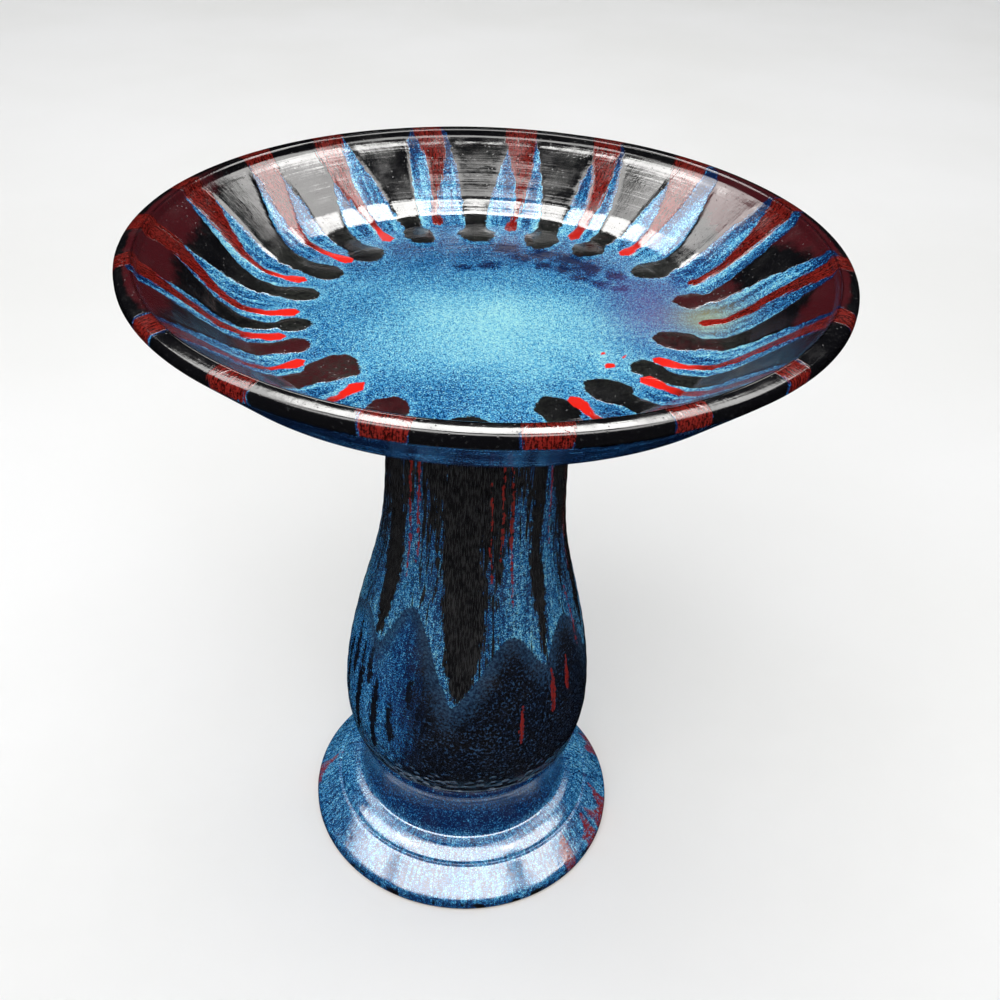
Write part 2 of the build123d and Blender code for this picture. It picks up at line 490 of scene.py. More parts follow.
def build_basin(sizes):
    """The basin: its outline turned round the axis, with throwing rings, a hand's wobble and runs that
    stand proud."""
    outline = basin_outline(sizes)
    step = np.concatenate([[0], np.cumsum(np.linalg.norm(np.diff(outline, axis=0), axis=1))])
    on_lip = np.abs(outline[:, 0] - RIM_RADIUS + sizes.lip_width / 2)
    crest = np.argmax(outline[:, 1] - 0.01 * on_lip)
    inwards = ((step[crest] - step) / MM)[:, None]
    angle = np.linspace(-180, 180, sizes.around, endpoint=False)[None, :]
    radius = outline[:, :1] + 0 * angle
    height = outline[:, 1:] + 0 * angle
    angle, inwards = angle + 0 * radius, inwards + 0 * radius
    inner = slice(crest, None, -1)

    def reach(end_radius):
        return np.interp(-end_radius, -outline[inner, 0][: crest + 1] / MM, (step[crest] - step[inner]) / MM)

    travel = np.abs(inwards)
    in_mm = np.maximum(radius / MM, 1)
    red, heat = red_runs(angle, in_mm, travel, reach)
    black, maroon = black_runs(angle, in_mm, travel, reach)
    outside = inwards < 0
    lip_reach = (sizes.lip_height + sizes.lip_width / 2) / MM + 1.5
    down_lip = lip_reach + 1.3 * wander(angle, 5, 9, 6) + inwards
    red = np.where(outside, np.minimum(red, down_lip), red)
    black = np.where(
        outside, np.minimum(np.maximum(black, -red - 2.0 - 1.2 * wander(angle, 33, 12, 7)), down_lip), black
    )

    x = in_mm * np.cos(np.radians(angle))
    y = in_mm * np.sin(np.radians(angle))
    pale = np.exp(-(((x - 8) / 78) ** 2) - ((y + 22) / 62) ** 2)
    pale = pale - 0.35 * smooth(28, 90, y) * smooth(125, 105, in_mm)
    violet = np.exp(-(((x - 104) / 26) ** 2) - ((y - 12) / 48) ** 2)
    ochre = np.exp(-(((x - 138) / 20) ** 2) - ((y + 2) / 22) ** 2)
    stain = np.full(radius.shape, -20.0)
    for place, middle, size in DARK_STAINS:
        across = turn_from(angle, place) * np.radians(in_mm)
        stain = np.maximum(stain, size - np.hypot(across * 0.8, in_mm - middle))
    rim_maroon = np.maximum(
        smooth(38, 20, np.abs(turn_from(angle, 183))), smooth(46, 24, np.abs(turn_from(angle, 12)))
    )
    rim_maroon = rim_maroon * smooth(40, 14, inwards + 9 * wander(angle, 4, 9, 5)) * smooth(-6, 0, inwards)
    underside = RIM_HEIGHT - sizes.bowl_depth - sizes.floor_thickness
    bare = np.where(
        height < underside + 8 * MM, 74 + 2.5 * wander(angle, 9, 8, 3) - radius / MM, -20.0
    ) - 40.0 * (height > underside + 8 * MM)

    runs = smooth(-0.8, 1.4, black) + 0.7 * smooth(-0.6, 1.2, red) * smooth(0.4, -0.8, black)
    pooled = smooth(0, 9, black) * smooth(55, 95, inwards)
    proud = np.where(outside, 0.0, runs * smooth(8, 22, inwards) + 0.8 * pooled)
    ripple = (
        np.sin(inwards / 1.9 + 1.5 * wander(angle, 3, 3)) * smooth(4, 16, inwards)
        * smooth(105, 80, inwards)
    )
    uneven = 0.6 * MM * smooth(26, 4, travel) * (0.5 + 0.4 * np.clip(wander(angle, 8, 7, 2), -1, 1))
    lift = sizes.throwing_ripple * ripple + sizes.glaze_relief * proud - uneven
    lift = np.where(inwards < -95, 0, lift)
    normal = left_normals(outline)
    turned = np.radians(angle)
    flow = np.stack([0.2 * np.cos(turned), 0.2 * np.sin(turned), inwards * MM / 9], -1)
    fields = {
        "red_run": red,
        "black_run": black,
        "red_heat": heat,
        "maroon": np.clip(maroon + rim_maroon, 0, 1),
        "inwards": inwards,
        "pale_pool": pale,
        "violet_bleed": violet,
        "ochre_stain": ochre,
        "dark_stain": stain,
        "bare_clay": bare,
    }
    return pot_mesh(
        "basin_pot", radius + normal[:, :1] * lift, height + normal[:, 1:] * lift, angle, fields, flow,
        closed=False
    )


# ---------------------------------------- glaze runs of the pedestal, in degrees and millimetres

# Black runs down from the neck: angle at the neck, angle at the tip, half width at the neck, half width at
# the waist (both in degrees), height of the tip.
NECK_RUNS = [
    (-150, -142, 9, 8.5, 219),
    (-111, -111, 3, 2.5, 263),
    (-97, -93, 13, 12.5, 192),
    (-74, -73, 4, 3, 283),
    (-47, -48, 5, 5.5, 216),
    (-24, -25, 4, 3, 250),
    (-10, -9, 8, 7, 206),
    (14, 15, 4, 3, 255),
    (34, 32, 11, 10, 200),
    (58, 57, 3, 3, 262),
    (76, 79, 8, 8, 211),
    (101, 100, 4, 3, 271),
    (122, 120, 12, 11, 196),
    (147, 149, 5, 4, 244),
    (170, 172, 9, 8, 209),
    (194, 193, 3, 2.5, 265),
]

# Lower edge of the upper glaze: angle and height, low at each run's tip and high between.
GLAZE_EDGE = [
    (-156, 232),
    (-141, 214),
    (-124, 257),
    (-96, 188),
    (-66, 240),
    (-48, 211),
    (-33, 239),
    (-10, 190),
    (12, 238),
    (32, 192),
    (55, 246),
    (79, 203),
    (100, 242),
    (120, 187),
    (146, 236),
    (172, 203),
]

# Lanes where the blue shows nearly up to the neck: angle and half width in degrees.
BLUE_LANES = [(-127, 8), (-62, 7), (-39, 4), (0, 6), (45, 7), (90, 6), (135, 8), (183, 7)]

# Thin red trickles: angle at the top, angle at the end, height at the top and at the end, half width.
RED_TRICKLES = [
    (-134, -131, 420, 276, 0.9),
    (-127, -125, 430, 290, 1.1),
    (-80, -78, 366, 284, 0.6),
    (-73, -72, 420, 300, 0.7),
    (-68, -65, 425, 258, 0.9),
    (-63, -63, 185, 152, 2.1),
    (-45, -45, 206, 166, 2.5),
    (-34, -34, 207, 177, 2.3),
    (-24, -20, 262, 200, 1.3),
    (-37, -36, 400, 300, 0.6),
    (-16, -14, 390, 250, 0.8),
    (4, 6, 410, 262, 1.0),
    (24, 25, 216, 170, 1.7),
    (48, 47, 400, 270, 1.0),
    (66, 67, 200, 160, 1.8),
    (90, 91, 420, 280, 0.9),
    (110, 108, 205, 168, 1.6),
    (136, 137, 415, 262, 1.1),
    (160, 158, 196, 158, 1.8),
    (183, 184, 405, 270, 1.0),
]

# Dark dashes in the blue low on the belly, laid out like the trickles.
DARK_DASHES = [
    (-137, -136, 188, 120, 3.6),
    (-127, -126, 175, 138, 2.6),
    (-150, -149, 206, 122, 3.4),
    (-165, -164, 196, 132, 3.2),
    (-143, -143, 212, 176, 2.4),
    (-158, -157, 216, 168, 2.6),
    (-117, -117, 205, 178, 1.6),
    (8, 8, 180, 130, 2.2),
    (60, 61, 190, 140, 2.2),
    (133, 133, 185, 126, 2.4),
]

# Patches of red on the foot: angle and half width in degrees.
FOOT_REDS = [(-178, 5), (20, 6), (-14, 7), (-27, 4), (-42, 3), (75, 5), (132, 4)]


def smooth_edge(angle):
    """Height of the upper glaze's edge: a quarter sine from each low point up to the next high one, so lows
    are sharp."""
    knots = np.array(GLAZE_EDGE + [(GLAZE_EDGE[0][0] + 360, GLAZE_EDGE[0][1])], float)
    wrapped = (angle - knots[0, 0]) % 360 + knots[0, 0]
    i = np.clip(np.searchsorted(knots[:, 0], wrapped, side="right") - 1, 0, len(knots) - 2)
    share = (wrapped - knots[i, 0]) / (knots[i + 1, 0] - knots[i, 0])
    start, end = knots[i, 1], knots[i + 1, 1]
    rising = start + (end - start) * np.sin(share * math.pi / 2) ** 1.2
    falling = end + (start - end) * np.cos(share * math.pi / 2) ** 1.2
    return np.where(end > start, rising, falling)


def neck_runs(angle, radius, height):
    """Distance inside the black runs below the neck: half width by height less the arc, drawn to a point at
    the tip."""
    nearest = np.full(radius.shape, -40.0)
    for top, tip, top_half, waist_half, tip_height in NECK_RUNS:
        down = smooth(430, tip_height, height)
        line = top + (tip - top) * down + 0.9 * np.sin(height / 23 + top)
        half = np.interp(height, [280, 430], [waist_half, top_half])
        point = np.clip((height - tip_height) / 62, 0, 1) ** 0.55
        arc = np.abs(turn_from(angle, line)) * np.radians(radius)
        inside = np.radians(half) * radius * point - arc - np.clip(tip_height - height, 0, None)
        nearest = np.maximum(nearest, inside)
    return nearest


def trickles(angle, radius, height, rows):
    """Distance inside thin vertical trickles, each a spindle that swells towards its lower end."""
    nearest = np.full(radius.shape, -20.0)
    for top, end, top_height, end_height, half in rows:
        share = (top_height - height) / (top_height - end_height)
        line = top + (end - top) * share + 0.4 * np.sin(height / 9 + top)
        swell = half * np.clip(4 * share * (1 - share), 0, 1) ** 0.4 * (0.65 + 0.5 * np.clip(share, 0, 1))
        past = np.clip(np.abs(share - 0.5) - 0.5, 0, None) * (top_height - end_height)
        arc = np.abs(turn_from(angle, line)) * np.radians(radius)
        nearest = np.maximum(nearest, swell - arc - past)
    return nearest


def vase_side(sizes, inset, count):
    """Side of the vase from the neck down to the belly's foot, moved in by inset."""
    neck_side = NECK_RIM - sizes.neck_round
    middle_radius = (sizes.neck_radius + sizes.waist_radius) / 2 - sizes.neck_hollow
    knots = [
        (sizes.neck_radius, neck_side),
        (middle_radius, (NECK_RIM + 288 * MM) / 2),
        (sizes.waist_radius, 288 * MM),
        (sizes.shoulder_radius, 219 * MM),
        (sizes.belly_radius, 150 * MM),
        (91 * MM, 107 * MM),
    ]
    return smooth_curve([(r - inset, z) for r, z in knots], (0, -1), (-0.28, -1), count)


def pedestal_outline(sizes):
    """Section of the pedestal: over the neck's rim, down the outside, under the foot and up the hollow
    inside."""
    bore = sizes.neck_radius - sizes.wall
    rim_side = NECK_RIM - sizes.neck_round
    start = (bore, rim_side)
    rim_in, rim_out = (bore + sizes.neck_round, NECK_RIM), (sizes.neck_radius - sizes.neck_round, NECK_RIM)
    belly_foot, crease, bead_foot = (91 * MM, 107 * MM), (84 * MM, 95 * MM), (84 * MM, 86 * MM)
    collar_foot, step_foot = (85.5 * MM, 41.5 * MM), (sizes.step_radius, 31.5 * MM)
    t = np.linspace(0, 1, 16)[1:, None]
    sag = np.array([[sizes.collar_radius - (bead_foot[0] + collar_foot[0]) / 2, 0]])
    collar = np.array(bead_foot) * (1 - t) + np.array(collar_foot) * t + 4 * t * (1 - t) * sag
    groove = 29.9 * MM
    foot = rounded_outline(
        [
            (*step_foot, 0),
            (sizes.step_radius, groove, 0.4 * MM),
            (sizes.step_radius + 2.4 * MM, groove, 0.8 * MM),
            (FOOT_RADIUS, sizes.foot_height, 6 * MM),
            (FOOT_RADIUS, 0, 3.5 * MM),
            (109 * MM, 0, 0),
            (107 * MM, 10 * MM, 0),
            (76.5 * MM, 31.5 * MM, 0),
            (72 * MM, 63.75 * MM, 0),
            (91 * MM - sizes.wall, 107 * MM, 0),
        ]
    )
    outline = np.vstack(
        [
            np.array([start]),
            arc_between(start, rim_in, sizes.neck_round, 5),
            arc_between(rim_out, (sizes.neck_radius, rim_side), sizes.neck_round, 5),
            vase_side(sizes, 0, 110)[1:],
            arc_between(belly_foot, crease, 13 * MM),
            arc_between(crease, bead_foot, 6 * MM),
            collar,
            arc_between(collar_foot, step_foot, 24 * MM),
            foot[1:],
            vase_side(sizes, sizes.wall, 30)[::-1][1:-1],
        ]
    )

    def spacing(r, z):
        return 3 * MM if r > 78 * MM and z < 0.3 else 12 * MM

    return divided(outline, spacing)


def build_pedestal(sizes):
    """The pedestal: its closed section turned round the axis, with throwing rings and runs that stand
    proud."""
    outline = pedestal_outline(sizes)
    outside_end = np.argmax((outline[:, 1] < 0.5 * MM) & (outline[:, 0] < FOOT_RADIUS - 6 * MM))
    is_outside = (np.arange(len(outline)) < outside_end)[:, None]
    angle = np.linspace(-180, 180, sizes.around, endpoint=False)[None, :]
    radius = outline[:, :1] + 0 * angle
    height = outline[:, 1:] + 0 * angle
    angle = angle + 0 * radius
    r, z = radius / MM, height / MM
    edge_height = smooth_edge(angle) + 1.5 * wander(angle, 21, 20, 8)
    slope = np.gradient(edge_height[0], np.radians(angle[0])) / 88
    above = (z - edge_height) / np.sqrt(1 + slope**2)
    black = np.minimum(neck_runs(angle, r, z), above + 1)
    red = trickles(angle, r, z, RED_TRICKLES)
    dash = trickles(angle, r, z, DARK_DASHES)
    shown = 0.9 * smooth(420, 240, z) - 0.12 + 0.24 * wander(angle, 31, 16, 5)
    for place, half in BLUE_LANES:
        shown = shown + 0.42 * np.exp(-((turn_from(angle, place) / half) ** 2)) * smooth(470, 330, z)
    left_blue = smooth(60, 20, np.abs(turn_from(angle, -158))) * smooth(100, 125, z)
    left_blue = left_blue + 0.5 * smooth(30, 8, np.abs(turn_from(angle, 70))) * smooth(100, 125, z)
    foot_red = np.full(radius.shape, -20.0)
    for place, half in FOOT_REDS:
        arc = (half - np.abs(turn_from(angle, place))) * np.radians(r)
        foot_red = np.maximum(foot_red, np.minimum(arc, 22 - z + 6 * wander(angle, 40, 9, 20)))
    bare = np.where(is_outside, np.maximum(z - 434.5, 2.2 - z), 20.0)

    ripple = np.sin(z / 2.3 + wander(angle, 13, 3)) * smooth(112, 130, z) * smooth(430, 400, z)
    ripple = ripple + 0.8 * np.sin(z / 1.1) * smooth(84, 78, z) * smooth(44, 50, z)
    proud = smooth(-1, 1.5, above) * (0.6 + 0.7 * smooth(-0.5, 2, black))
    fade = smooth(112, 130, z) * smooth(434, 425, z)
    lift = np.where(is_outside, sizes.throwing_ripple * ripple + sizes.glaze_relief * proud * fade, 0.0)
    lift = lift + np.where(is_outside, 0.35 * MM * wander(angle, 17, 5, 2) * fade, 0.0)
    normal = left_normals(outline)
    turned = np.radians(angle)
    flow = np.stack([0.09 * np.cos(turned), 0.09 * np.sin(turned), height / 9], -1)
    fields = {
        "above_edge": above,
        "black_run": black,
        "red_run": red,
        "dark_dash": dash,
        "blue_shown": shown,
        "blue_belly": left_blue,
        "foot_red": foot_red,
        "bare_clay": bare,
        "height": z,
    }
    return pot_mesh(
        "pedestal_pot", radius + normal[:, :1] * lift, height + normal[:, 1:] * lift, angle, fields, flow,
        closed=True
    )


def build_cushion():
    """The cushion ring: a thin closed band whose inner and outer edges bulge, as squeezed rubber does."""
    inner = CUSHION_OUTER - 6.5 * MM
    low, high = NECK_RIM, SEAT_HEIGHT
    turn = np.linspace(math.pi, -math.pi, 28, endpoint=False)
    squareness = 0.35
    across = np.sign(np.cos(turn)) * np.abs(np.cos(turn)) ** squareness
    up = np.sign(np.sin(turn)) * np.abs(np.sin(turn)) ** squareness
    outline_r = (inner + CUSHION_OUTER) / 2 + across * (CUSHION_OUTER - inner) / 2
    outline_z = (low + high) / 2 + up * (high - low) / 2 * 0.98
    angle = np.linspace(-180, 180, 192, endpoint=False)[None, :]
    radius, height = outline_r[:, None] + 0 * angle, outline_z[:, None] + 0 * angle
    angle = angle + 0 * radius
    flow = np.stack([np.cos(np.radians(angle)), np.sin(np.radians(angle)), height], -1)
    return pot_mesh("cushion_rubber_ring", radius, height, angle, {}, flow, closed=True)


# ---------------------------------------------------------------- materials


class Recipe:
    """A new material and short ways to add nodes to it."""

    def __init__(self, name):
        self.material = bpy.data.materials.new(name)
        self.material.use_nodes = True
        self.tree = self.material.node_tree
        self.shader = self.tree.nodes["Principled BSDF"]
        self.place = self.add("ShaderNodeTexCoord", {}).outputs["Object"]

    def add(self, kind, inputs, **settings):
        node = self.tree.nodes.new(kind)
        for key, value in settings.items():
            setattr(node, key, value)
        for key, value in inputs.items():
            if isinstance(value, bpy.types.NodeSocket):
                self.tree.links.new(value, node.inputs[key])
            else:
                node.inputs[key].default_value = value
        return node

    def sum(self, operation, *values):
        return self.add("ShaderNodeMath", dict(enumerate(values)), operation=operation).outputs[0]

    def scaled(self, value, gain, shift=0.0):
        return self.sum("MULTIPLY_ADD", value, gain, shift)

    def step(self, value, low, high, bottom=0.0, top=1.0):
        inputs = {"Value": value, "From Min": low, "From Max": high, "To Min": bottom, "To Max": top}
        return self.add("ShaderNodeMapRange", inputs, interpolation_type="SMOOTHSTEP").outputs["Result"]

    def mix(self, factor, first, second, blend="MIX"):
        colours = [
            tuple(c) + (1.0,) if not isinstance(c, bpy.types.NodeSocket) else c for c in (first, second)
        ]
        inputs = {0: factor, 6: colours[0], 7: colours[1]}
        return self.add("ShaderNodeMix", inputs, data_type="RGBA", blend_type=blend).outputs[2]

    def ramp(self, value, stops):
        node = self.add("ShaderNodeValToRGB", {"Fac": value})
        elements = node.color_ramp.elements
        while len(elements) < len(stops):
            elements.new(0.5)
        for element, (position, shade) in zip(elements, stops):
            element.position = position
            element.color = tuple(shade) + (1.0,)
        return node.outputs["Color"]

    def field(self, name, output="Fac"):
        return self.add("ShaderNodeAttribute", {}, attribute_name=name).outputs[output]

    def noise(self, scale, detail=2.0, vector=None, rough=0.5):
        inputs = {"Vector": vector or self.place, "Scale": scale, "Detail": detail, "Roughness": rough}
        return self.add("ShaderNodeTexNoise", inputs).outputs["Fac"]

    def cells(self, scale, vector=None):
        inputs = {"Vector": vector or self.place, "Scale": scale}
        return self.add("ShaderNodeTexVoronoi", inputs).outputs["Distance"]

    def bump(self, height, strength, distance, normal=None):
        inputs = {"Height": height, "Strength": strength, "Distance": distance}
        if normal:
            inputs["Normal"] = normal
        return self.add("ShaderNodeBump", inputs).outputs["Normal"]

    def finish(self, colour, roughness, normal, ior=1.52, coat=0.0):
        self.tree.links.new(colour, self.shader.inputs["Base Color"])
        self.tree.links.new(roughness, self.shader.inputs["Roughness"])
        self.tree.links.new(normal, self.shader.inputs["Normal"])
        self.shader.inputs["IOR"].default_value = ior
        self.shader.inputs["Coat Weight"].default_value = coat
        self.shader.inputs["Coat Roughness"].default_value = 0.03
        return self.material


def speckled_blue(recipe, glazes, lightness):
    """Blue broken by fine dark grain: the lightness, jittered grain by grain, runs from navy to pale
    crystals."""
    grain = recipe.noise(1150, 2.0, rough=0.7)
    coarse = recipe.noise(360, 2.0)
    tone = recipe.sum("ADD", recipe.scaled(grain, 3.3, -1.65), recipe.scaled(coarse, 0.9, -0.45))
    tone = recipe.sum("ADD", tone, lightness)
    stops = [(0.1, glazes.navy), (0.36, glazes.blue), (0.66, glazes.cyan), (0.95, glazes.pale)]
    return recipe.ramp(tone, stops)


def bare_clay(recipe, glazes):
    """Buff clay with darker grog."""
    grog = recipe.step(recipe.cells(420), 0.1, 0.3)
    dark = tuple(channel * 0.45 for channel in glazes.clay)
    return recipe.mix(recipe.scaled(grog, 0.7, 0.3), dark, glazes.clay)


def basin_material(glazes):
    recipe = Recipe("basin_drip_glaze")
    flow = recipe.field("flow", "Vector")
    inwards = recipe.field("inwards")
    fibre = recipe.noise(700, 3.0, flow, 0.6)
    threads = recipe.noise(1500, 2.0, flow, 0.6)
    wobble = recipe.noise(150, 3.0)
    cloud = recipe.noise(22, 3.0)
    drift = recipe.noise(130, 3.0, flow)

    pale = recipe.scaled(recipe.field("pale_pool"), 0.52, 0.34)
    lightness = recipe.sum("ADD", pale, recipe.scaled(cloud, 0.5, -0.25))
    open_glaze = recipe.sum("MAXIMUM", recipe.field("black_run"), recipe.field("red_run"))
    fringe = recipe.sum("MULTIPLY", recipe.step(open_glaze, -6.0, -2.0), recipe.step(inwards, 50.0, 80.0))
    wall = recipe.sum("MULTIPLY", recipe.step(inwards, 98.0, 84.0), recipe.step(drift, 0.38, 0.66, -0.2, 0.3))
    high_wall = recipe.step(inwards, 40.0, -2.0, 0.0, -0.42)
    lightness = recipe.sum("ADD", recipe.sum("ADD", lightness, wall), high_wall)
    lightness = recipe.sum("ADD", lightness, recipe.scaled(fringe, 0.12))
    stain_edge = recipe.sum("ADD", recipe.field("dark_stain"), recipe.scaled(wobble, 12, -6))
    stain = recipe.step(
        recipe.sum("ADD", stain_edge, recipe.scaled(recipe.noise(700, 2.0), 9, -4.5)), -5.0, 4.0
    )
    lightness = recipe.sum("ADD", lightness, recipe.scaled(stain, -0.6))
    base = speckled_blue(recipe, glazes, lightness)
    violet = recipe.sum("MULTIPLY", recipe.field("violet_bleed"), recipe.step(cloud, 0.3, 0.6, 0.7, 1.0))
    base = recipe.mix(
        violet, base,
        recipe.mix(recipe.step(recipe.noise(700, 2.0), 0.4, 0.6, 0.15, 0.55), glazes.violet, base)
    )
    base = recipe.mix(recipe.scaled(recipe.field("ochre_stain"), 0.75), base, glazes.ochre)

    # Underside: blue smeared in throwing rings, with its lightness range set low as painted shade on the
    # downward-facing underside.
    under = recipe.step(inwards, -13.0, -18.0)
    ring_flow = recipe.add(
        "ShaderNodeCombineXYZ", {"X": recipe.scaled(inwards, 0.33), "Y": cloud, "Z": 0.0}
    ).outputs[0]
    rings = recipe.noise(1.0, 3.0, ring_flow)
    smear = recipe.sum("ADD", rings, recipe.scaled(recipe.noise(38, 4.0), 0.8, -0.4))
    under_rings_and_shade = speckled_blue(recipe, glazes, recipe.step(smear, 0.35, 0.8, -0.32, 0.26))
    base = recipe.mix(under, base, under_rings_and_shade)

    black_edge = recipe.sum("ADD", recipe.field("black_run"), recipe.scaled(wobble, 5, -2.5))
    black_edge = recipe.sum("ADD", black_edge, recipe.step(inwards, 55.0, 20.0, 0.0, 1.0))
    black_edge = recipe.sum("ADD", black_edge, recipe.scaled(fibre, 2.4, -1.2))
    black = recipe.step(black_edge, -0.5, 0.5)
    maroon_edge = recipe.sum("ADD", recipe.field("maroon"), recipe.scaled(wobble, 0.9, -0.45))
    dark = recipe.mix(recipe.step(maroon_edge, 0.2, 0.75), glazes.black, glazes.maroon)
    flecks = recipe.step(recipe.noise(500, 2.0), 0.6, 0.74, 0.0, 0.5)
    dark = recipe.mix(flecks, dark, tuple(0.03 + channel for channel in glazes.black))
    dusty = recipe.sum(
        "MULTIPLY", recipe.step(inwards, 58.0, 72.0), recipe.step(cloud, 0.35, 0.6, 0.15, 0.85)
    )
    dusty = recipe.sum(
        "MULTIPLY", dusty, recipe.step(recipe.noise(420, 3.0, rough=0.6), 0.35, 0.62, 0.2, 1.0)
    )
    dark = recipe.mix(
        dusty, dark, tuple(share + channel for share, channel in zip((0.024, 0.026, 0.021), glazes.black))
    )
    base = recipe.mix(black, base, dark)

    heat = recipe.field("red_heat")
    frayed = recipe.sum("MULTIPLY", recipe.scaled(heat, -0.8, 1.0), recipe.scaled(fibre, 9, -4.5))
    red_edge = recipe.sum(
        "ADD", recipe.sum("ADD", recipe.field("red_run"), frayed), recipe.scaled(wobble, 2.5, -1.25)
    )
    red = recipe.step(red_edge, -0.5, 0.6)
    mesh_grain = recipe.noise(900, 2.0, rough=0.7)
    thread = recipe.step(
        recipe.sum("ADD", recipe.scaled(threads, 0.5), recipe.scaled(mesh_grain, 0.5)), 0.42, 0.58
    )
    weave = recipe.sum("MAXIMUM", thread, recipe.step(heat, 0.1, 0.7))
    scarlet = recipe.mix(heat, glazes.red, glazes.hot_red)
    red_colour = recipe.mix(weave, tuple(channel * 0.12 for channel in glazes.red), scarlet)
    base = recipe.mix(red, base, red_colour)

    bare = recipe.step(
        recipe.sum("ADD", recipe.field("bare_clay"), recipe.scaled(wobble, 3, -1.5)), -0.4, 0.4
    )
    base = recipe.mix(bare, base, bare_clay(recipe, glazes))

    roughness = recipe.step(recipe.noise(60, 3.0), 0.3, 0.7, 0.07, 0.2)
    roughness = recipe.sum("ADD", roughness, recipe.scaled(bare, 0.7))
    peel = recipe.scaled(recipe.noise(170, 2.0), 0.5)
    strands = recipe.scaled(fibre, 0.25)
    relief = recipe.sum("ADD", recipe.scaled(black, 0.35), recipe.scaled(red, 0.25))
    pits = recipe.step(recipe.cells(260), 0.05, 0.14, -0.6, 0.0)
    rough_rings = recipe.scaled(rings, 0.7)
    height = recipe.sum("ADD", recipe.sum("ADD", peel, strands), recipe.sum("ADD", relief, pits))
    height = recipe.sum("ADD", height, rough_rings)
    normal = recipe.bump(height, 0.35, 0.0006)
    return recipe.finish(base, roughness, normal)


